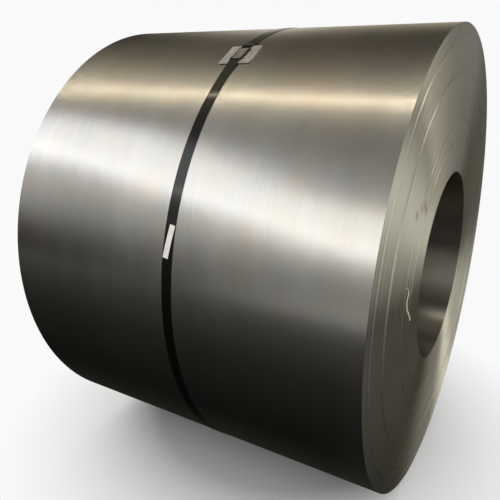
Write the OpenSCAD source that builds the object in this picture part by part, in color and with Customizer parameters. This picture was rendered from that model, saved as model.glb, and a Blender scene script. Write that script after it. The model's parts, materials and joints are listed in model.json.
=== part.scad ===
// Cold-rolled steel coil lying on its side, held by one steel strap.
// The axis of the coil runs along X, the floor is z = 0, and the origin lies
// on the floor under the middle of the coil.

/* [Coil] */
// Outside diameter of the wound coil
coil_od = 1480; // [1000:10:2000]
// Diameter of the bore
bore_d = 610; // [400:1:800]
// Width of the rolled strip
strip_w = 1150; // [600:10:1800]
// Sideways drift of the winding between its most set-back and its proudest turns
drift = 11; // [2:1:40]
// Radial build of the loose innermost turns
core_build = 2; // [1:0.5:6]
// Widest gap under the loose turns, at the bottom of the bore
core_gap = 6; // [2:0.5:15]

/* [Strap] */
// Width of the strapping
strap_w = 32; // [16:1:50]
// Thickness of the strapping
strap_t = 1; // [0.5:0.1:2]
// Distance of the strap from the middle of the coil, along the axis
strap_x = 20; // [-300:1:300]
// Height of the strap joint round the coil, in degrees up from the front
joint_angle = 61.5; // [20:0.5:80]
// Length of the free tail beyond the seal
tail_l = 27; // [10:1:60]
// Length of the covered end beyond the seal
covered_l = 10; // [5:1:15]

/* [Seal] */
// Length of the seal along the strap
seal_l = 57; // [40:1:70]
// Sheet thickness of the seal
seal_t = 1.2; // [0.8:0.1:2]
// Room between the edges of the strap and the sides of the seal
seal_room = 1; // [0.5:0.1:3]
// Slope of the sides of the seal, which are squeezed down past the strap
seal_slope = 30; // [25:1:60]
// Width of the slot between the two lips folded under the strap
lip_gap = 8; // [2:1:14]
// Length of each notch that the sealer cuts into the sides
notch_l = 9; // [4:0.5:12]
// Depth of the notches
notch_depth = 6; // [3:0.5:8]
// Distance between the two notches of a side
notch_pitch = 24; // [16:1:28]

/* [Pad plate] */
// Side of the square plate that keeps the seal off the coil
pad_side = 100; // [95:1:160]
// Thickness of the plate
pad_t = 1.5; // [1:0.5:6]
// Angle by which the plate sits askew under the strap
pad_twist = 3; // [-15:0.5:15]
// Corner radius of the plate
pad_corner_r = 4; // [1:0.5:12]

/* [Label] */
// Length of the sticker along the strap
label_l = 90; // [40:1:160]
// Width of the sticker
label_w = 17; // [8:1:22]
// Thickness of the sticker
label_t = 0.3; // [0.2:0.1:1]
// Height of the sticker round the coil, in degrees up from the front
label_angle = 14.5; // [-20:0.5:40]
// Angle by which the sticker sits askew on the strap
label_twist = -8; // [-12:0.5:12]

/* [Marker cord] */
// Diameter of the cord caught between two groups of turns
cord_d = 4; // [3:0.5:6]

/* [Hidden] */
$fn = 180;

coil_r = coil_od / 2;
bore_r = bore_d / 2;
core_r = bore_r + core_build;
core_gap_r_share = 0.95;
core_gap_r = core_gap_r_share * core_r;
axis_z = coil_r + strap_t;
overrun = 1;

// Groups of turns from the bore outwards: where each group starts, as a share
// of the build, and how far it has drifted along the axis, as a share of the
// whole drift.
group_start_shares = [0, 0.226, 0.35, 0.686, 0.898];
group_drift_shares = [0.5, 0.33, 0.13, -0.25, -0.5];

group_count = len(group_start_shares);
function group_start(i) = i == group_count ? coil_r
    : bore_r + group_start_shares[i] * (coil_r - bore_r);
function group_shift(i) = group_drift_shares[i] * drift;

// Corners of one end of the winding, as [radius, place along the axis], from
// the bore outwards. Every turn has the full width of the strip, so what
// stands proud at one end is set back as far at the other.
function end_corners(end_x) =
    [for (i = [0 : group_count - 1], r = [group_start(i), group_start(i + 1)])
        [r, end_x + group_shift(i)]];
function reversed(list) = [for (i = [len(list) - 1 : -1 : 0]) list[i]];

// Crescent between the loose turns and the rest of the winding
module core_gap_outline() {
    difference() {
        translate([0, core_gap_r - core_r - core_gap]) circle(core_gap_r);
        circle(core_r);
    }
}

module coil() {
    color([0.58, 0.57, 0.54]) translate([0, 0, axis_z]) difference() {
        rotate([0, 90, 0]) rotate_extrude()
            polygon(concat(end_corners(-strip_w / 2), reversed(end_corners(strip_w / 2))));
        rotate([90, 0, 90]) linear_extrude(strip_w + 2 * drift, center = true) core_gap_outline();
    }
}

function unit(v) = v / norm(v);

// Places things under the strap: local Z points out of the coil at the given
// height round it, local Y runs up round it, and local X along its axis.
module at_angle(angle) {
    translate([strap_x, 0, axis_z]) rotate([90 - angle, 0, 0]) children();
}

// Distances from the axis of the coil to the faces stacked at the strap joint
pad_top = coil_r + pad_t;
lower_strap_bottom = pad_top + seal_t;
upper_strap_bottom = lower_strap_bottom + strap_t;
upper_strap_top = upper_strap_bottom + strap_t;
seal_top = upper_strap_top + seal_t;

// Half lengths along the strap: of the plate, allowing for its twist, and of the seal
pad_half = pad_side / 2 / cos(pad_twist) + strap_w / 2 * abs(tan(pad_twist));
seal_half = seal_l / 2;

// The strap leaves the coil for the edge of the plate along a tangent. It has
// eased off the coil there, and the straight run goes on into the round one.
strap_ease = 0.05;
strap_lap_angle = 0.5;
lift_r = coil_r + strap_ease;
lift_angle = atan(pad_half / pad_top) + acos(lift_r / norm([pad_half, pad_top]));
round_start = lift_angle - strap_lap_angle;
lift_y = lift_r * sin(lift_angle);
lift_z = lift_r * cos(lift_angle);

// Side view of a run of strapping over the points of its lower face, each
// [place along the strap, distance from the axis of the coil], from where it
// leaves the coil
module strap_run(points) {
    top = [for (i = [0 : len(points) - 1])
        i == 0 ? points[i] * (lift_r + strap_t) / lift_r : points[i] + [0, strap_t]];
    outline = concat(points, reversed(top));
    polygon(points[0].x < 0 ? outline : reversed(outline));
}

// Side view of the round run, open at the joint
module strap_ring() {
    open_y = coil_od * sin(round_start);
    open_z = coil_od * cos(round_start);
    difference() {
        circle(coil_r + strap_t);
        circle(coil_r);
        polygon([[0, 0], [open_y, open_z], [-open_y, open_z]]);
    }
}

module strap() {
    color([0.1, 0.1, 0.09]) at_angle(joint_angle) rotate([90, 0, 90])
        linear_extrude(strap_w, center = true) {
            strap_ring();
            // The lower end comes from the top of the coil and stops below the seal
            strap_run([[lift_y, lift_z], [pad_half, pad_top], [seal_half, lower_strap_bottom],
                [-seal_half - covered_l, lower_strap_bottom]]);
            // The upper end comes from the front, over the lower end, and stops above the seal
            strap_run([[-lift_y, lift_z], [-pad_half, pad_top],
                [-seal_half - covered_l, upper_strap_bottom], [seal_half + tail_l, upper_strap_bottom]]);
        }
}

// A convex outline with every corner rounded to one radius: the straight edges
// end where they touch the corner circles
module rounded(corners, r) {
    count = len(corners);
    function to_next(i) = unit(corners[(i + 1) % count] - corners[i]);
    function to_last(i) = unit(corners[(i + count - 1) % count] - corners[i]);
    function half_angle(i) = acos(to_next(i) * to_last(i)) / 2;
    polygon([for (i = [0 : count - 1], way = [to_last(i), to_next(i)])
        corners[i] + way * r / tan(half_angle(i))]);
    for (i = [0 : count - 1])
        translate(corners[i] + unit(to_last(i) + to_next(i)) * r / sin(half_angle(i))) circle(r);
}

// Half widths of the seal, inside and outside, at the top and at the base of its sloping sides
seal_in_top = strap_w / 2 + seal_room;
seal_in_base = seal_in_top + 2 * strap_t / tan(seal_slope);
seal_out_top = seal_in_top + seal_t / sin(seal_slope) - seal_t / tan(seal_slope);
seal_out_base = seal_out_top + (seal_top - pad_top) / tan(seal_slope);
fold_r = seal_t;
seal_reach = seal_out_base - fold_r / tan(seal_slope / 2) + fold_r;

// Corners of a slice across the joint that narrows upwards, from the axis of the coil
function joint_slice(base, top, bottom_z, top_z) =
    [[-base, bottom_z], [base, bottom_z], [top, top_z], [-top, top_z]];

// Sheet folded round both straps, with two lips under them
module seal_section() {
    difference() {
        rounded(joint_slice(seal_out_base, seal_out_top, pad_top, seal_top), fold_r);
        polygon(joint_slice(seal_in_base, seal_in_top, lower_strap_bottom, upper_strap_top));
        translate([-lip_gap / 2, pad_top - overrun]) square([lip_gap, seal_t + 2 * overrun]);
    }
}

module seal() {
    color([0.7, 0.7, 0.68]) at_angle(joint_angle) difference() {
        rotate([90, 0, 0]) linear_extrude(seal_l, center = true) seal_section();
        for (side = [-1, 1], y = [-notch_pitch / 2, notch_pitch / 2])
            translate([0, y, pad_top - overrun]) linear_extrude(seal_top - pad_top + 2 * overrun)
                polygon([[side * (seal_reach - notch_depth), 0],
                    [side * (seal_reach + overrun), -notch_l / 2],
                    [side * (seal_reach + overrun), notch_l / 2]]);
    }
}

module pad_plate() {
    half = pad_side / 2;
    color([0.66, 0.66, 0.64]) at_angle(joint_angle) translate([0, 0, coil_r]) rotate([0, 0, pad_twist])
        linear_extrude(pad_t)
            rounded([[-half, -half], [half, -half], [half, half], [-half, half]], pad_corner_r);
}

module label() {
    color([0.92, 0.91, 0.88]) at_angle(label_angle) intersection() {
        rotate([0, 90, 0]) rotate_extrude()
            translate([coil_r + strap_t, -label_l]) square([label_t, 2 * label_l]);
        translate([0, 0, coil_r]) rotate([0, 0, label_twist])
            cube([label_w, label_l, label_l], center = true);
    }
}

// The cord comes out beside a step of the end face and hangs down over it.
// Points of its middle line: out from the face that it leaves, along Y, and up
// from the axis of the coil.
cord_group = 2;
cord_route = [[0, -454, 77], [5, -454, 77], [9, -458, 75], [11, -463, 71], [12, -469, 66],
    [12, -473, 60], [12, -476, 53], [12, -477, 46], [12, -475, 38], [12, -471, 29],
    [13, -466, 20], [14, -459, 11], [15, -452, 2], [16, -446, -6], [16, -442, -14]];
cord_sides = 8;

function cord_direction(i) =
    unit(cord_route[min(i + 1, len(cord_route) - 1)] - cord_route[max(i - 1, 0)]);
function cord_ring(i) = let(
    side = unit(cross(cord_direction(i), [0, 1, 0])),
    other = cross(cord_direction(i), side))
    [for (k = [0 : cord_sides - 1]) let(turn = 360 * k / cord_sides)
        cord_route[i] + cord_d / 2 * (cos(turn) * side + sin(turn) * other)];

module marker_cord() {
    last = len(cord_route) - 1;
    color([0.72, 0.72, 0.5]) translate([strip_w / 2 + group_shift(cord_group), 0, axis_z]) polyhedron(
        points = [for (i = [0 : last], p = cord_ring(i)) p],
        faces = concat(
            [[for (k = [0 : cord_sides - 1]) k]],
            [for (i = [0 : last - 1], k = [0 : cord_sides - 1]) let(
                a = i * cord_sides + k,
                b = i * cord_sides + (k + 1) % cord_sides)
                each [[a, a + cord_sides, b], [b, a + cord_sides, b + cord_sides]]],
            [[for (k = [cord_sides - 1 : -1 : 0]) last * cord_sides + k]]));
}

coil();
strap();
seal();
pad_plate();
label();
marker_cord();
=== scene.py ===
import json

import bpy
import numpy as np
from mathutils import Matrix, Vector


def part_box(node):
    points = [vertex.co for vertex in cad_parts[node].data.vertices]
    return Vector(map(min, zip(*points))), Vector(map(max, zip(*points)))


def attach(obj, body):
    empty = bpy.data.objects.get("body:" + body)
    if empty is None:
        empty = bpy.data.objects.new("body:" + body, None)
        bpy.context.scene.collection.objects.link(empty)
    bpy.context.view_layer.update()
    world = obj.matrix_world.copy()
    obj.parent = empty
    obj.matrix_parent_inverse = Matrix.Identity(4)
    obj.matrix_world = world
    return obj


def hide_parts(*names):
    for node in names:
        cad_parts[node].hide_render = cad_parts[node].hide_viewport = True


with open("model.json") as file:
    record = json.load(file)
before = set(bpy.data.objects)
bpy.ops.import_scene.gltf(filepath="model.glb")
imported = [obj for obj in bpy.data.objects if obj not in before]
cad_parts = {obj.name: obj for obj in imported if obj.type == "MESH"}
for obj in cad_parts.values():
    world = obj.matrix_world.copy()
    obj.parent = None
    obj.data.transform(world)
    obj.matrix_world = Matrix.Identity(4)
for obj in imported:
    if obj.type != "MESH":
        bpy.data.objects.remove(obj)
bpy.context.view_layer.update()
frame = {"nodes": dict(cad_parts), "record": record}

# Camera: held at chest height in front of the coil and to the right of it,
# looking a little down on the strapped side and on the right-hand end.
coil_low, coil_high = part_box("coil")
coil_r = (coil_high.z - coil_low.z) / 2
axis_z = (coil_high.z + coil_low.z) / 2
camera_place = Vector((0.8908, -1.7714, 1.3594))
camera_right = Vector((0.8605, 0.5094, 0.0))
camera_up = Vector((-0.1629, 0.2752, 0.9475))
camera_data = bpy.data.cameras.new("camera")
camera_data.lens = 39.13
camera_data.sensor_width = 36.0
camera = bpy.data.objects.new("camera", camera_data)
camera_axes = Matrix((camera_right, camera_up, camera_right.cross(camera_up))).transposed()
camera.matrix_world = Matrix.Translation(camera_place) @ camera_axes.to_4x4()
bpy.context.collection.objects.link(camera)
bpy.context.scene.camera = camera
bpy.context.scene.view_settings.view_transform = "Standard"


# Marker cord: a short length of pale two-ply plastic twine, caught between two
# groups of turns when the coil was wound. It comes out of the end of the coil,
# kinks, and hangs down over it to a cut end.
def grid_faces(rows, columns, wrap_rows=True):
    """Quads of a grid whose columns close on themselves, and whose rows do too if wrap_rows is set."""
    row = np.arange(rows if wrap_rows else rows - 1)[:, None]
    column = np.arange(columns)[None, :]
    next_row = (row + 1) % rows
    next_column = (column + 1) % columns
    corners = (row * columns + column, row * columns + next_column,
               next_row * columns + next_column, next_row * columns + column)
    return np.stack(np.broadcast_arrays(*corners), axis=-1).reshape(-1, 4)


def smooth_path(points, steps):
    """The points joined by cubic curves: each piece leaves and meets its ends along half the step
    between their neighbours, and is cut into the given number of steps."""
    points = np.asarray(points)
    slope = np.gradient(points, axis=0)
    share = (np.arange(steps) / steps)[None, :, None]
    start, end = points[:-1, None], points[1:, None]
    start_slope, end_slope = slope[:-1, None], slope[1:, None]
    pieces = ((2 * share**3 - 3 * share**2 + 1) * start + (share**3 - 2 * share**2 + share) * start_slope
              + (3 * share**2 - 2 * share**3) * end + (share**3 - share**2) * end_slope)
    return np.concatenate((pieces.reshape(-1, 3), points[-1:]))


def twine_along(path, radius, sides, plies, turn_length, ply_depth, tight_share):
    """Vertices and faces of a closed twine: round each point of the path, square to its direction, a
    ring whose radius dips by twice ply_depth between the plies, which turn once in every turn_length.
    It is cut to tight_share where the twine is pulled tight at its start, and the ends draw in."""
    step = np.linalg.norm(np.diff(path, axis=0), axis=1)
    run = np.concatenate(((0,), np.cumsum(step)))
    direction = np.gradient(path, axis=0)
    direction /= np.linalg.norm(direction, axis=1)[:, None]
    side = np.cross(direction, (0.0, 1.0, 0.0))
    side /= np.linalg.norm(side, axis=1)[:, None]
    other = np.cross(direction, side)
    turn = np.linspace(0, 2 * np.pi, sides, endpoint=False)
    twist = turn[None] - 2 * np.pi * run[:, None] / turn_length
    swell = 1 - ply_depth + ply_depth * np.cos(plies * twist)
    swell = swell * np.interp(run / run[-1], (0.15, 0.45), (tight_share, 1.0))[:, None]
    circle = np.cos(turn)[None, :, None] * side[:, None] + np.sin(turn)[None, :, None] * other[:, None]
    rings = path[:, None] + radius * swell[..., None] * circle
    rings = np.concatenate((path[:1, None] + 0 * circle[:1], rings, path[-1:, None] + 0 * circle[-1:]))
    return rings.reshape(-1, 3), grid_faces(len(rings), sides, wrap_rows=False)


def make_piece(name, vertices, faces, sharp_angle=None):
    """A smooth-shaded mesh object at the origin, riding on the one body; edges that turn by more than
    sharp_angle, in degrees, stay sharp."""
    mesh = bpy.data.meshes.new(name)
    mesh.from_pydata(vertices.tolist(), [], faces.tolist())
    mesh.polygons.foreach_set("use_smooth", np.ones(len(faces), dtype=bool))
    if sharp_angle is not None:
        mesh.set_sharp_from_angle(angle=np.radians(sharp_angle))
    mesh.validate()
    mesh.update()
    piece = bpy.data.objects.new(name, mesh)
    bpy.context.collection.objects.link(piece)
    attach(piece, "root")
    return piece


def put(tree, kind, settings=(), **inputs):
    """A new node with its settings; each input, named with _ for a space or by its number after i,
    takes a value or a socket."""
    made = tree.nodes.new(kind)
    for name, value in dict(settings).items():
        setattr(made, name, value)
    for name, value in inputs.items():
        key = int(name[1:]) if name[0] == "i" and name[1:].isdigit() else name.replace("_", " ")
        if isinstance(value, bpy.types.NodeSocket):
            tree.links.new(value, made.inputs[key])
        else:
            made.inputs[key].default_value = value
    return made


def new_material(name, **sockets):
    """A material with one Principled shader, whose sockets take the given constants."""
    material = bpy.data.materials.new(name)
    material.use_nodes = True
    tree = material.node_tree
    shader = tree.nodes["Principled BSDF"]
    for socket, value in sockets.items():
        shader.inputs[socket.replace("_", " ")].default_value = value
    return material, tree, shader


def ramp(tree, factor, *stops):
    """A colour ramp over factor with stops of (place, (red, green, blue))."""
    made = put(tree, "ShaderNodeValToRGB", Fac=factor)
    points = made.color_ramp.elements
    while len(points) < len(stops):
        points.new(1.0)
    for point, (place, colour) in zip(points, stops):
        point.position = place
        point.color = (*colour, 1.0)
    return made.outputs["Color"]


def own_place(tree):
    """The object's own coordinates."""
    return put(tree, "ShaderNodeTexCoord").outputs["Object"]


def stretched_noise(tree, scale, detail=3.0, roughness=0.55):
    """Noise over the object's own coordinates, with a scale for each axis."""
    scaled = put(tree, "ShaderNodeMapping", Vector=own_place(tree), Scale=scale).outputs["Vector"]
    return put(tree, "ShaderNodeTexNoise", Vector=scaled, Scale=1.0, Detail=detail,
               Roughness=roughness).outputs["Fac"]


def bump(tree, shader, height, strength, distance):
    """Relief of the given depth from a height."""
    made = put(tree, "ShaderNodeBump", Height=height, Strength=strength, Distance=distance)
    tree.links.new(made.outputs["Normal"], shader.inputs["Normal"])


cord_diameter = 0.004
cord_sides = 16
cord_exit_x = 0.57643
# In millimetres: out of the coil, behind its axis and above its axis
cord_route = np.array([
    (0, -454, 77), (5, -454, 77), (9, -458, 75), (11, -463, 71), (12, -469, 66),
    (12, -473, 60), (12, -476, 53), (12, -477, 46), (12, -475, 38), (12, -471, 29),
    (13, -466, 20), (14, -459, 11), (15, -452, 2), (15.9, -446, -6), (15.9, -442, -14)]) / 1000
cord_route += (cord_exit_x, 0, axis_z)
cord_path = smooth_path(cord_route, steps=8)
cord_mesh = twine_along(cord_path, cord_diameter / 2, cord_sides, plies=2, turn_length=0.011,
                        ply_depth=0.16, tight_share=0.75)
cord = make_piece("marker_cord_twine", *cord_mesh)
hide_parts("marker_cord")
cord_material, tree, shader = new_material("pale_twine", Roughness=0.5)
fibre = stretched_noise(tree, (900, 900, 140))
plastic = ramp(tree, fibre, (0.3, (0.46, 0.45, 0.25)), (0.55, (0.68, 0.66, 0.44)),
               (0.75, (0.80, 0.78, 0.60)))
tree.links.new(plastic, shader.inputs["Base Color"])
bump(tree, shader, fibre, 0.5, 0.0003)
cord.data.materials.append(cord_material)


# Coil: one length of bright cold-rolled strip wound tight round a mandrel, so
# each end shows rings of strip edges, in groups that have drifted sideways and
# sway a little. The strip's outer end is a low step across the back.
eye = next(mount for mount in frame["record"]["mounts"] if mount["name"] == "eye")
bore_r = eye["dims"]["r_mm"] / 1000
strip_width = eye["dims"]["length_mm"] / 1000
strip_thickness = 0.0008
strip_end_angle = np.radians(205)
cut_gap_angle = np.radians(0.06)
core_r = bore_r + 0.002
core_gap = 0.006
core_gap_r = 0.95 * core_r
group_starts = bore_r + (coil_r - bore_r) * np.array((0, 0.226, 0.35, 0.686, 0.898))
group_shifts = 0.011 * np.array((0.5, 0.33, 0.13, -0.25, -0.5))
group_sways = np.array((0, 0, 0, 3.9, 2.5)) / 1000
sway_angle = np.radians(20)
turn_rings = 92
ring_width_range = (0.4, 1.6)
turn_wander = 0.00005
wander_tail = 1.6
widest_wander = 0.0005
proud_shares = (0.585, 0.972)
proud_height = 0.0006
bevel_share = 0.38
bevel_spread = 0.9
barrel_rows = 8
round_steps = 240
sharp_edge = 35


def bore_radius(angle):
    """Distance from the axis to the inside of the winding: the core's circle, or the lower, smaller
    circle of the gap where that one lies outside it."""
    drop = core_r + core_gap - core_gap_r
    gap_r = -drop * np.sin(angle) + np.sqrt(core_gap_r**2 - (drop * np.cos(angle)) ** 2)
    return np.maximum(core_r, gap_r)


# Rings of uneven width, each a group of turns, with an edge at the start of each drifted group
draw = np.random.default_rng(7)
ring_widths = draw.uniform(*ring_width_range, turn_rings - 1)
first_edge = core_r + 1.5 * core_gap
edge_shares = np.concatenate(((0,), np.cumsum(ring_widths) / ring_widths.sum()))
ring_edges = np.concatenate(((core_r,), first_edge + (coil_r - first_edge) * edge_shares))
nearest = np.abs(ring_edges[:, None] - group_starts[None, 1:]).argmin(axis=0)
ring_edges[nearest] = group_starts[1:]
ring_middles = (ring_edges[1:] + ring_edges[:-1]) / 2
ring_group = np.searchsorted(group_starts, ring_middles) - 1

# The groups that stand furthest right and left wander only inwards
wander = np.clip(turn_wander * draw.standard_t(wander_tail, turn_rings), -widest_wander, widest_wander)
rightmost = ring_group == 0
leftmost = ring_group == len(group_starts) - 1
wander[rightmost] = -np.abs(wander[rightmost])
wander[leftmost] = np.abs(wander[leftmost])
for share in proud_shares:
    wander[np.abs(ring_middles - share * coil_r).argmin()] += proud_height

# The profile runs out along the right-hand end, along the barrel, in along the left-hand end and
# back through the bore
end_r = np.repeat(ring_edges, 2)[1:-1]
end_shift = np.repeat(group_shifts[ring_group] + wander, 2)
end_sway = np.repeat(group_sways[ring_group], 2)
end_rows = len(end_r)
left_start = end_rows + barrel_rows
bore_start = left_start + end_rows
right_x = strip_width / 2 + end_shift
left_x = -strip_width / 2 + end_shift[::-1]
barrel_x = np.linspace(0.5, -0.5, barrel_rows + 2)[1:-1] * strip_width
still = np.zeros(barrel_rows)
profile_r = np.concatenate((end_r, still + coil_r, end_r[::-1], still + core_r))
profile_x = np.concatenate((right_x, barrel_x, left_x, -barrel_x))
profile_sway = np.concatenate((end_sway, still, end_sway[::-1], still))

# Each row runs once round and comes back one strip thickness nearer the axis
wound = np.linspace(0, 2 * np.pi - cut_gap_angle, round_steps)
angle = strip_end_angle + wound
turn_drop = strip_thickness * wound / (2 * np.pi)
wound_r = np.where(profile_r[:, None] > core_r, profile_r[:, None] - turn_drop, bore_radius(angle))
wound_x = profile_x[:, None] + profile_sway[:, None] * (1 - np.cos(angle - sway_angle))[None]

# The steps between turns are rounded strip edges, so each leans by about bevel_share of its height
phase = draw.uniform(0, 2 * np.pi, (2, turn_rings - 1, 1))
lean = bevel_share * (1 + bevel_spread * np.sin(5 * angle + phase[0]) * np.sin(2 * angle + phase[1]))
inner_row = np.arange(1, end_rows - 2, 2)
back_row = bore_start - 1 - inner_row
for inner, outer, side in ((inner_row, inner_row + 1, 1), (back_row, back_row - 1, -1)):
    run = lean * side * (wound_x[inner] - wound_x[outer])
    wound_r[outer] += np.maximum(run, 0)
    wound_r[inner] += np.minimum(run, 0)
coil_vertices = np.stack((wound_x, -wound_r * np.cos(angle), axis_z + wound_r * np.sin(angle)), axis=-1)
coil_faces = grid_faces(len(profile_r), round_steps)
coil = make_piece("coil_winding", coil_vertices.reshape(-1, 3), coil_faces, sharp_edge)
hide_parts("coil")


def math(tree, operation, first, second, clamp=False):
    """One step of arithmetic on two values or sockets."""
    settings = {"operation": operation, "use_clamp": clamp}
    return put(tree, "ShaderNodeMath", settings, i0=first, i1=second).outputs[0]


def blended(tree, first, second, share):
    """A share of the first value and the rest of the second."""
    part = math(tree, "MULTIPLY", first, share)
    rest = math(tree, "MULTIPLY", second, 1 - share)
    return math(tree, "ADD", part, rest)


def spread(tree, value, low, high, from_low=0.3, from_high=0.7):
    """A value carried from one range to another, and held at its ends."""
    return put(tree, "ShaderNodeMapRange", Value=value, From_Min=from_low, From_Max=from_high,
               To_Min=low, To_Max=high).outputs[0]


def mixed(tree, factor, first, second):
    """A colour between two colours or sockets."""
    made = put(tree, "ShaderNodeMix", {"data_type": "RGBA"}, Factor=factor, i6=first, i7=second)
    return made.outputs[2]


def strip_face(name, anisotropic, dullest, dark, pale):
    """The strip's rolled face: faint grain and smears run round the coil, along the strip, and spread
    the reflections across it, with a few brownish smudges; it is slightly wavy. Its colour goes from
    dark to pale, and its roughness up to dullest."""
    material, tree, shader = new_material(name, Metallic=1.0, Anisotropic=anisotropic)
    across_strip = put(tree, "ShaderNodeCombineXYZ", X=1.0).outputs[0]
    tree.links.new(across_strip, shader.inputs["Tangent"])
    grain = stretched_noise(tree, (240, 4, 4), detail=3.0)
    smear = stretched_noise(tree, (9, 2.5, 2.5), detail=4.0)
    smudge = stretched_noise(tree, (6, 6, 6), detail=2.0)
    tone = blended(tree, smear, grain, 0.75)
    stain = stretched_noise(tree, (8, 6, 6), detail=4.0)
    stain = spread(tree, stain, 0.0, 0.7, 0.5, 0.66)
    brownish = (*np.array(pale) * (1.0, 0.93, 0.87), 1)
    steel = mixed(tree, stain, ramp(tree, tone, (0.36, dark), (0.64, pale)), brownish)
    tree.links.new(steel, shader.inputs["Base Color"])
    dullness = blended(tree, smudge, smear, 0.5)
    dullness = spread(tree, dullness, 0.9 * dullest, dullest, 0.35, 0.65)
    tree.links.new(dullness, shader.inputs["Roughness"])
    wave = stretched_noise(tree, (14, 10, 10), detail=2.0)
    relief = math(tree, "ADD", wave, math(tree, "MULTIPLY", grain, 0.01))
    bump(tree, shader, relief, 0.4, 0.001)
    return material


face_material = strip_face("rolled_strip_face", 0.45, 0.265, (0.55, 0.54, 0.52), (0.61, 0.60, 0.58))
# Painted shade: the strip's face inside the bore, and on the loose inner turns, is coloured about half as
# bright as the outer face.
bore_material_painted_shade = strip_face("strip_face_with_painted_bore_shade", 1.0, 0.36, (0.27, 0.258, 0.225), (0.32, 0.307, 0.27))
corner_material = strip_face("worn_strip_corner", 0.45, 0.46, (0.50, 0.49, 0.46), (0.56, 0.55, 0.52))


def vector_math(tree, operation, first, **inputs):
    """One step of arithmetic on a vector: a number for a length or a distance, and else a vector."""
    made = put(tree, "ShaderNodeVectorMath", {"operation": operation}, i0=first, **inputs)
    return made.outputs["Value" if operation in ("LENGTH", "DISTANCE") else "Vector"]


def part_of(tree, vector, axis):
    """One coordinate of a vector."""
    return put(tree, "ShaderNodeSeparateXYZ", Vector=vector).outputs[axis]


def ring_noise(tree, outward, rings_per_metre):
    """Noise in rings round the axis: it changes fast with the radius and slowly round the coil."""
    across = math(tree, "MULTIPLY", vector_math(tree, "LENGTH", outward), rings_per_metre)
    across = put(tree, "ShaderNodeCombineXYZ", X=across).outputs[0]
    along = vector_math(tree, "SCALE", outward, Scale=2.5)
    where = vector_math(tree, "ADD", across, i1=along)
    return put(tree, "ShaderNodeTexNoise", Vector=where, Scale=1.0, Detail=3.0).outputs["Fac"]


def spots(tree, outward, places):
    """One in soft round spots on the right-hand end, zero elsewhere. Each place is a share of the coil's
    radius, an angle up from the front and a size; a spot fades out between 0.4 and 2.2 of its size."""
    covered = 0.0
    for share, degrees, size in places:
        spot_r, spot_angle = share * coil_r, np.radians(degrees)
        middle = (0, -spot_r * np.cos(spot_angle), spot_r * np.sin(spot_angle))
        away = vector_math(tree, "DISTANCE", outward, i1=middle)
        covered = math(tree, "MAXIMUM", covered, spread(tree, away, 1.0, 0.0, 0.4 * size, 2.2 * size))
    right_end = math(tree, "GREATER_THAN", part_of(tree, own_place(tree), "X"), 0.0)
    return math(tree, "MULTIPLY", covered, right_end)


# Strip edges: each is rounded, so the end throws light wide across the turns and hardly along them.
# A few places are nicked and rusty, or have a burr painted as a pale, partly matte spot, a painted glint.
burr_glint_places = ((0.878, 130, 0.003), (0.914, 161, 0.004), (0.81, 96, 0.002))
rust_places = ((0.586, 38.6, 0.010), (0.556, 38.5, 0.008), (0.658, 32.3, 0.009), (0.62, 36, 0.006))
edge_material, tree, shader = new_material("wound_strip_edges", Anisotropic=1.0)
outward = put(tree, "ShaderNodeMapping", Vector=own_place(tree), Location=(0, 0, -axis_z),
              Scale=(0, 1, 1)).outputs["Vector"]
tree.links.new(vector_math(tree, "NORMALIZE", outward), shader.inputs["Tangent"])
fine_turns = ring_noise(tree, outward, 420)
turn_bands = ring_noise(tree, outward, 55)
tone = blended(tree, fine_turns, turn_bands, 0.45)
steel_edges = ramp(tree, tone, (0.35, (0.44, 0.425, 0.35)), (0.65, (0.515, 0.50, 0.425)))
# Painted glint: the burrs are coloured pale and made less metallic.
burr_glints = spots(tree, outward, burr_glint_places)
steel_edges = mixed(tree, burr_glints, steel_edges, (0.85, 0.82, 0.74, 1))
speckle = stretched_noise(tree, (400, 400, 400), detail=4.0)
speckle = spread(tree, speckle, 0.0, 1.0, 0.38, 0.5)
rust = math(tree, "MULTIPLY", spots(tree, outward, rust_places), speckle)
tree.links.new(mixed(tree, rust, steel_edges, (0.12, 0.045, 0.018, 1)), shader.inputs["Base Color"])
bare = math(tree, "SUBTRACT", 1.0, math(tree, "MAXIMUM", rust, math(tree, "MULTIPLY", burr_glints, 0.6)))
tree.links.new(bare, shader.inputs["Metallic"])
tree.links.new(spread(tree, turn_bands, 0.49, 0.55), shader.inputs["Roughness"])
bump(tree, shader, fine_turns, 0.12, 0.0003)

on_face, on_edges, in_bore, on_corners = range(4)


def dress_coil(piece, finish):
    """Gives each polygon of the piece its finish: on the strip's face, on its edges, in the bore, or on
    the worn corners where turns stand past each other."""
    for material in (face_material, edge_material, bore_material_painted_shade, corner_material):
        piece.data.materials.append(material)
    piece.data.polygons.foreach_set("material_index", finish.astype(np.int32))


finish = np.full((len(profile_r), round_steps), on_face)
for first_row in (0, left_start):
    finish[first_row:first_row + end_rows - 1:2] = on_edges
    finish[first_row + inner_row] = on_corners
finish[bore_start - 1:] = in_bore
dress_coil(coil, finish.reshape(-1))


# Loose inner turns: the inner end of the same strip, which has sprung off the
# bottom of the bore and leaves a dark crescent there. Its cut end is a low step
# along the bore.
inner_end_angle = np.radians(40)
loose_x = group_shifts[0] + strip_width / 2 * np.array((1, 1, -1, -1))
loose_r = np.stack((bore_r + turn_drop, np.full(round_steps, core_r)))[[0, 1, 1, 0]]
loose_angle = inner_end_angle + wound
loose_vertices = np.stack(np.broadcast_arrays(
    loose_x[:, None], -loose_r * np.cos(loose_angle), axis_z + loose_r * np.sin(loose_angle)), axis=-1)
loose_faces = grid_faces(len(loose_r), round_steps)
loose_turns = make_piece("coil_inner_turns", loose_vertices.reshape(-1, 3), loose_faces, sharp_edge)
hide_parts("coil")
dress_coil(loose_turns, np.array((on_edges, on_face, on_edges, in_bore)).repeat(round_steps))


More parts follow.
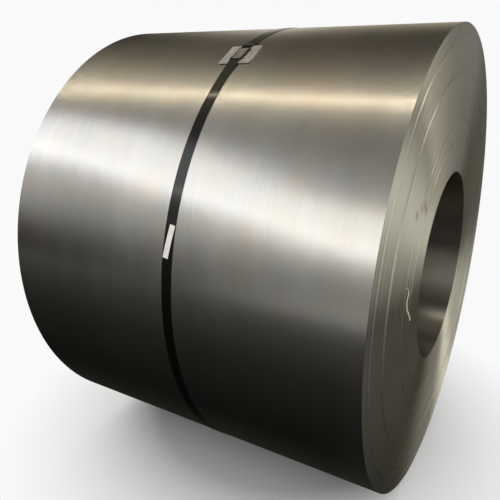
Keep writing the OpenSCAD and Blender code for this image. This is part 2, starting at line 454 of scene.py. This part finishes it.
# Strap: one length of black lacquered steel strapping, pulled tight round the
# girth with its two ends lying on each other at the joint. The lacquer is worn
# along the edges, and the cut end of the tail is bare.
def distance(tree, first, second):
    """How far two numbers are apart."""
    return math(tree, "ABSOLUTE", math(tree, "SUBTRACT", first, second), 0.0)


def dress_node(name, material):
    """Gives a solid of the frame its finish."""
    slots = frame["nodes"][name].data.materials
    slots.clear()
    slots.append(material)


strap_low, strap_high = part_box("strap")
strap_middle_x = (strap_low.x + strap_high.x) / 2
strap_half_width = (strap_high.x - strap_low.x) / 2
wear_width = 0.0012
joint_angle = np.radians(61.5)
tail_end = 0.0555
tail_level = coil_r + 0.0032
strap_material, tree, shader = new_material("black_lacquered_strapping", Specular_IOR_Level=0.5)
place = own_place(tree)
from_middle = distance(tree, part_of(tree, place, "X"), strap_middle_x)
chips = stretched_noise(tree, (900, 60, 60), detail=4.0)
edge_wear = spread(tree, from_middle, 0.0, 1.0, strap_half_width - wear_width, strap_half_width)
worn = math(tree, "MULTIPLY", edge_wear, spread(tree, chips, 0.0, 0.8, 0.5, 0.66))
streak = stretched_noise(tree, (500, 6, 6), detail=4.0)
lacquer = ramp(tree, streak, (0.3, (0.0006, 0.0006, 0.0005)), (0.7, (0.0018, 0.0017, 0.0014)))
lacquer = mixed(tree, worn, lacquer, (0.035, 0.032, 0.028, 1))
at_joint = put(tree, "ShaderNodeVectorRotate", {"rotation_type": "X_AXIS"}, Vector=place,
               Center=(0, 0, axis_z), Angle=joint_angle - np.pi / 2).outputs[0]
from_tail_end = distance(tree, part_of(tree, at_joint, "Y"), tail_end)
on_tail = math(tree, "GREATER_THAN", part_of(tree, at_joint, "Z"), axis_z + tail_level)
cut_end = math(tree, "MULTIPLY", spread(tree, from_tail_end, 1.0, 0.0, 0.0003, 0.0012), on_tail)
tree.links.new(mixed(tree, cut_end, lacquer, (0.5, 0.48, 0.44, 1)), shader.inputs["Base Color"])
tree.links.new(spread(tree, streak, 0.08, 0.14), shader.inputs["Roughness"])
bump(tree, shader, streak, 0.08, 0.0002)
dress_node("strap", strap_material)


# Pad plate: a loose square of zinc-coated sheet under the joint, lying askew,
# which keeps the joint off the strip.
zinc_material, tree, shader = new_material("dull_zinc", Metallic=0.75)
spangle = put(tree, "ShaderNodeTexVoronoi", Vector=own_place(tree), Scale=180.0).outputs["Color"]
spangle = part_of(tree, spangle, "X")
grime = stretched_noise(tree, (60, 60, 60), detail=5.0, roughness=0.65)
zinc = blended(tree, spangle, grime, 0.3)
grey = ramp(tree, zinc, (0.3, (0.40, 0.38, 0.35)), (0.65, (0.66, 0.635, 0.595)))
tree.links.new(grey, shader.inputs["Base Color"])
tree.links.new(spread(tree, spangle, 0.42, 0.58, 0.0, 1.0), shader.inputs["Roughness"])
bump(tree, shader, grime, 0.12, 0.0005)
dress_node("pad_plate", zinc_material)


# Seal: a short sleeve of sheet folded round both straps, with its sides squeezed
# down and notched by the sealer. Its top keeps the seal's own mottled grey, while
# its left side carries painted shade and its right side a painted near-black shadow.
seal_material, tree, shader = new_material("seal_with_painted_side_shade", Roughness=0.45)
across = math(tree, "SUBTRACT", part_of(tree, own_place(tree), "X"), strap_middle_x)
scrape = stretched_noise(tree, (160, 160, 160), detail=5.0, roughness=0.65)
edge_shake = math(tree, "ADD", across, spread(tree, scrape, -0.006, 0.006))
# Painted shadow and shade: the seal's right side is coloured near black and its left side dim.
right_side_painted_shadow = spread(tree, across, 0.0, 1.0, 0.0135, 0.0155)
left_side_painted_shade = spread(tree, edge_shake, 1.0, 0.0, -0.013, -0.010)
seal_metal_colour = ramp(tree, scrape, (0.34, (0.06, 0.053, 0.042)), (0.5, (0.18, 0.16, 0.13)),
               (0.66, (0.32, 0.29, 0.24)))
# The dim colour painted on the seal's left side as shade.
painted_shade_colour = ramp(tree, scrape, (0.36, (0.02, 0.018, 0.014)), (0.64, (0.16, 0.145, 0.12)))
seal_top_and_left_shade = mixed(tree, left_side_painted_shade, seal_metal_colour, painted_shade_colour)
seal_colour_with_painted_shade = mixed(tree, right_side_painted_shadow, seal_top_and_left_shade, (0.002, 0.002, 0.0016, 1))
tree.links.new(seal_colour_with_painted_shade, shader.inputs["Base Color"])
bump(tree, shader, scrape, 0.2, 0.0005)
dress_node("seal", seal_material)


# Label: a blank white paper sticker, pressed onto the strap a little askew and
# slightly yellowed and creased.
label_material, tree, shader = new_material("white_sticker", Roughness=0.45)
age = stretched_noise(tree, (45, 45, 45), detail=5.0, roughness=0.6)
paper = ramp(tree, age, (0.3, (0.72, 0.70, 0.63)), (0.6, (0.86, 0.845, 0.79)))
tree.links.new(paper, shader.inputs["Base Color"])
crease = stretched_noise(tree, (120, 120, 35), detail=3.0)
bump(tree, shader, crease, 0.25, 0.0006)
dress_node("label", label_material)


# Floor: a wide pale studio floor that fades into the pale surround, and keeps
# the shadow of the coil where it stands.
def make_stage(name, vertices, faces, material):
    """A piece of the studio."""
    mesh = bpy.data.meshes.new(name)
    mesh.from_pydata(np.asarray(vertices).tolist(), [], np.asarray(faces).tolist())
    mesh.update()
    mesh.materials.append(material)
    piece = bpy.data.objects.new(name, mesh)
    bpy.context.collection.objects.link(piece)
    return piece


def seen_directly(tree):
    """One where the camera looks, straight or in metal or glass, and zero for scattered light."""
    path = put(tree, "ShaderNodeLightPath").outputs
    seen = math(tree, "ADD", path["Is Camera Ray"], path["Is Glossy Ray"])
    return math(tree, "ADD", seen, path["Is Transmission Ray"], clamp=True)


surround_level = 0.95
floor_half = 40.0
floor_corners = floor_half * np.array(((-1, -1, 0), (1, -1, 0), (1, 1, 0), (-1, 1, 0)))
fade_start, fade_end = 0.5, 1.1
floor_material, tree, shader = new_material("pale_floor", Base_Color=(0.9, 0.9, 0.9, 1), Roughness=0.9,
                                            Specular_IOR_Level=0.0)
away = spread(tree, vector_math(tree, "LENGTH", own_place(tree)), 0.0, 1.0, fade_start, fade_end)
far = math(tree, "MULTIPLY", away, seen_directly(tree))
haze = put(tree, "ShaderNodeEmission", Color=(1, 1, 1, 1), Strength=surround_level).outputs[0]
fade = put(tree, "ShaderNodeMixShader", Fac=far, i1=shader.outputs[0], i2=haze).outputs[0]
tree.links.new(fade, tree.nodes["Material Output"].inputs["Surface"])
make_stage("floor", floor_corners, [(0, 1, 2, 3)], floor_material)


# Light tent: cloths hung round the coil, out of the camera's sight, whose soft
# shades show only as reflections in the bright steel, as a photographer sets
# them up for polished metal. Places in it are given in coil radii.
tent_r = 5.0
tent_ends = (-13.0, 5.0)
coil_end = (0.7, 1.3)
cloth_height = 0.003
window_line = ((-5.4, -4.6, -4.0, -3.2, -2.1, -1.4, 0.5), (54, 51, 48.5, 44, 35.2, 27.5, 22))
lamp_line = ((-7.5, 0.6), (86, 82))
bar_line = ((-0.8, -0.4, 0, 0.4, 0.8, 1.2, 1.75, 2.5), (3.2, 3.1, 2.9, 2.7, 2.5, 2.2, 1.95, 1.65))
neutral = np.array((1.0, 0.985, 0.92))
cool = np.array((0.98, 1.0, 1.05))
greenish = np.array((1.0, 1.0, 0.86))
brown = np.array((1.0, 0.88, 0.66))
warm = np.array((1.0, 0.86, 0.64))


def bell(value, width, power=2):
    """A bell curve over a value; a higher power gives it a flatter top and steeper sides."""
    return np.exp(-0.5 * np.abs(value / width) ** power)


def between(first, second, share):
    """A colour between two, by a share for each place."""
    return first * (1 - share[..., None]) + second * share[..., None]


def vault_glow(angle, x):
    """Shade of the vault at an angle up from the front and a place along the axis. Beside the coil it is
    a grey that falls to the floor and to the brown back, given at the far end, the middle and the near
    end, with a soft white stripe along window_line, a warm one along lamp_line and a pale patch behind.
    Past the end of the coil it is a broad white band in front, a warm one behind the top and a pale one
    low behind, the rear ones dimmer close to the coil than away from it, with a short bright stripe
    overhead close to the coil and a faint one further off."""
    stops = (-12, 2, 16, 30, 44, 58, 71, 85, 98, 111, 124, 136, 148, 160, 192)
    far = (0.012, 0.05, 0.33, 0.57, 0.50, 0.45, 0.24, 0.34, 0.36, 0.17, 0.10, 0.03, 0.01, 0.08, 0.12)
    middle = (0.08, 0.20, 0.48, 0.60, 0.48, 0.34, 0.26, 0.30, 0.27, 0.14, 0.10, 0.14, 0.33, 0.65, 0.5)
    near = (0.42, 0.30, 0.50, 0.44, 0.36, 0.22, 0.18, 0.24, 0.16, 0.09, 0.06, 0.08, 0.28, 0.60, 0.5)
    nearer = np.interp(x, (-2.6, -0.7), (0, 1))
    farther = np.interp(x, (-5.0, -2.6), (1, 0))
    base = np.interp(angle, stops, far) * farther + np.interp(angle, stops, near) * nearer \
        + np.interp(angle, stops, middle) * (1 - nearer - farther)
    beside = base[..., None] * between(neutral, brown, np.interp(angle, (70, 100), (0, 1)))
    window_width = np.interp(x, (-5, -3.6, -1), (13, 14, 10))
    window = bell(angle - np.interp(x, *window_line), window_width, power=6)
    window = window * np.interp(x, (-5, -1), (1.16, 1.12))
    beside = beside + window[..., None] * between(neutral, cool, np.interp(x, (-2.5, -1), (1, 0)))
    patch = 0.4 * bell(x + 2.6, 0.6) * bell(angle - 157, 10)
    beside = beside + patch[..., None] * neutral
    lamp_glow = 0.3 * bell(angle - np.interp(x, *lamp_line), 8)
    beside = beside + lamp_glow[..., None] * warm

    stops = (-12, 0, 6, 18, 30, 42, 54, 66, 80, 90, 100, 108, 116, 128, 140, 150, 162, 172, 192)
    level = (0.05, 0.4, 0.65, 0.85, 1.15, 1.35, 0.65, 0.35, 0.3, 0.3, 0.5, 0.7, 0.7, 0.6, 0.38,
             0.35, 0.55, 0.5, 0.2)
    near_share = np.interp(angle, (60, 86, 92, 110, 140, 156), (0.2, 0.3, 0.3, 0.15, 0.15, 0.6))
    far_share = np.interp(angle, (60, 86, 92, 140, 156), (1.15, 1.15, 1.5, 1.5, 1.2))
    away = np.interp(x, (1.4, 2.8), (0, 1))
    past = np.interp(angle, stops, level) * (near_share + (far_share - near_share) * away)
    past = past + 11.0 * bell(angle - 93, 4.5) * np.interp(x, (0.85, 1.0, 1.4, 1.8), (0, 1, 1, 0))
    past = past + 0.7 * bell(angle - 91, 4) * np.interp(x, (1.6, 2.4, 3.6, 4.5), (0, 1, 1, 0))
    past = past[..., None] * between(neutral, warm, 0.5 * bell(angle - 104, 14))
    return between(beside, past, np.interp(x, coil_end, (0, 1)))


def floor_glow(y, x):
    """Shade of the floor cloth at a distance behind the axis and a place along it: dark in front of the
    coil and under it, and brown behind it. Past the end of the coil it is a soft grey, brown just behind
    the axis and pale far behind, and dimmer away from the coil."""
    stops = (-5, -2.67, -1.86, -1.4, -0.9, -0.6, 0.6, 1.5, 5)
    level = (0.1, 0.042, 0.02, 0.014, 0.006, 0.016, 0.05, 0.12, 0.3)
    tint = between(greenish, brown, np.interp(y, (-0.5, 0.5), (0, 1)))
    beside = np.interp(y, stops, level)[..., None] * tint

    stops = (-5, -3, -2.2, -1.8, -1.3, -0.4, 0.3, 0.8, 2, 2.7, 3.4, 4, 5)
    level = (0.1, 0.15, 0.25, 0.22, 0.1, 0.15, 0.24, 0.1, 0.12, 0.18, 0.42, 0.6, 0.6)
    past = np.interp(y, stops, level) * np.interp(x, (1, 3), (1.0, 0.6))
    past = past[..., None] * between(neutral, brown, np.interp(y, (-0.8, 0.3, 1.5, 2.5), (0, 0.7, 0.7, 0)))
    return between(beside, past, np.interp(x, coil_end, (0, 1)))


def end_glow(y, z):
    """Shade of the end cloth at a distance behind the axis and above it: pale in front and dark behind,
    with one bright bent bar there along bar_line, which leans towards the axis as it rises."""
    front = np.interp(y, (-5, -3, -1.5, -0.3, 0.5), (0.5, 0.95, 1.2, 0.65, 0.05)) \
        * np.interp(z, (-1, -0.3, 0.4, 1.5, 4.5), (0.3, 0.5, 0.8, 1.1, 1.05))
    bar = bell(y - np.interp(z, *bar_line), 0.38)
    bar = bar * np.interp(z, (-0.9, -0.6, 0.3, 0.9, 1.6, 2.2, 2.8), (2, 7, 8, 5.5, 3.5, 2.5, 0))
    return (front + bar)[..., None] * neutral


def make_cloth(name, x, y, z, glow):
    """A cloth over a grid of places in coil radii, from the axis, shaded by the glow of each place."""
    grid = np.stack(np.broadcast_arrays(x, y, z), axis=-1) * coil_r + (0, 0, axis_z)
    rows, columns = grid.shape[:2]
    row, column = np.meshgrid(np.arange(rows - 1), np.arange(columns - 1), indexing="ij")
    first = (row * columns + column).reshape(-1)
    faces = np.stack((first, first + 1, first + 1 + columns, first + columns), axis=-1)
    material = bpy.data.materials.new(name)
    material.use_nodes = True
    tree = material.node_tree
    tree.nodes.remove(tree.nodes["Principled BSDF"])
    shade = put(tree, "ShaderNodeAttribute", {"attribute_name": "shade"}).outputs["Color"]
    light = put(tree, "ShaderNodeEmission", Color=shade).outputs[0]
    tree.links.new(light, tree.nodes["Material Output"].inputs["Surface"])
    cloth = make_stage(name, grid.reshape(-1, 3), faces, material)
    colour = np.concatenate((glow, np.ones_like(glow[..., :1])), axis=-1)
    layer = cloth.data.attributes.new("shade", "FLOAT_COLOR", "POINT")
    layer.data.foreach_set("color", colour.astype(np.float32).reshape(-1))
    cloth.visible_camera = False
    cloth.visible_diffuse = False
    cloth.visible_shadow = False


cloth_x = np.linspace(*tent_ends, 73)[None]
vault_angle = np.linspace(-11.5, 191.5, 120)[:, None]
vault_arc = np.radians(vault_angle)
make_cloth("tent_vault", cloth_x, -tent_r * np.cos(vault_arc), tent_r * np.sin(vault_arc),
           vault_glow(*np.broadcast_arrays(vault_angle, cloth_x)))
cloth_y = np.linspace(-tent_r, tent_r, 80)[:, None]
cloth_z = (cloth_height - axis_z) / coil_r
make_cloth("tent_floor", cloth_x, cloth_y, cloth_z, floor_glow(*np.broadcast_arrays(cloth_y, cloth_x)))
end_z = np.linspace(cloth_z, tent_r, 60)[None]
make_cloth("tent_end", tent_ends[1], cloth_y, end_z, end_glow(*np.broadcast_arrays(cloth_y, end_z)))


# Lights: a long narrow soft box high on the left and a warm strip overhead,
# both in the vault, and an even pale surround.
def make_light(name, start, end, width, colour, strength):
    """A soft box: a rectangle lamp between two points of the vault, facing the coil's axis and as bright
    as its strength; the points are (place along the axis in coil radii, angle up from the front)."""
    def on_vault(x, degrees):
        arc = np.radians(degrees)
        return Vector((x, -tent_r * np.cos(arc), tent_r * np.sin(arc))) * coil_r + Vector((0, 0, axis_z))
    first, last = on_vault(*start), on_vault(*end)
    middle = (first + last) / 2
    side = (last - first).normalized()
    out = middle - Vector((0, 0, axis_z))
    out = (out - out.dot(side) * side).normalized()
    data = bpy.data.lights.new(name, "AREA")
    data.shape = "RECTANGLE"
    data.size = (last - first).length
    data.size_y = width * coil_r
    data.color = colour
    data.energy = strength * data.size * data.size_y * np.pi
    lamp = bpy.data.objects.new(name, data)
    lamp_axes = Matrix((side, out.cross(side), out)).transposed()
    lamp.matrix_world = Matrix.Translation(middle) @ lamp_axes.to_4x4()
    bpy.context.collection.objects.link(lamp)


make_light("window_box", (-6.5, 53), (0.3, 15), 0.2, (0.97, 0.98, 1.0), 1.2)
make_light("warm_strip", (-7.5, 86), (0.6, 82), 0.05, (1.0, 0.86, 0.62), 18.5)

surround_fill = 0.85
world = bpy.data.worlds.new("pale_surround")
bpy.context.scene.world = world
world.use_nodes = True
tree = world.node_tree
surround = tree.nodes["Background"]
surround.inputs["Color"].default_value = (1, 1, 1, 1)
strength = spread(tree, seen_directly(tree), surround_fill, surround_level, 0.0, 1.0)
tree.links.new(strength, surround.inputs["Strength"])
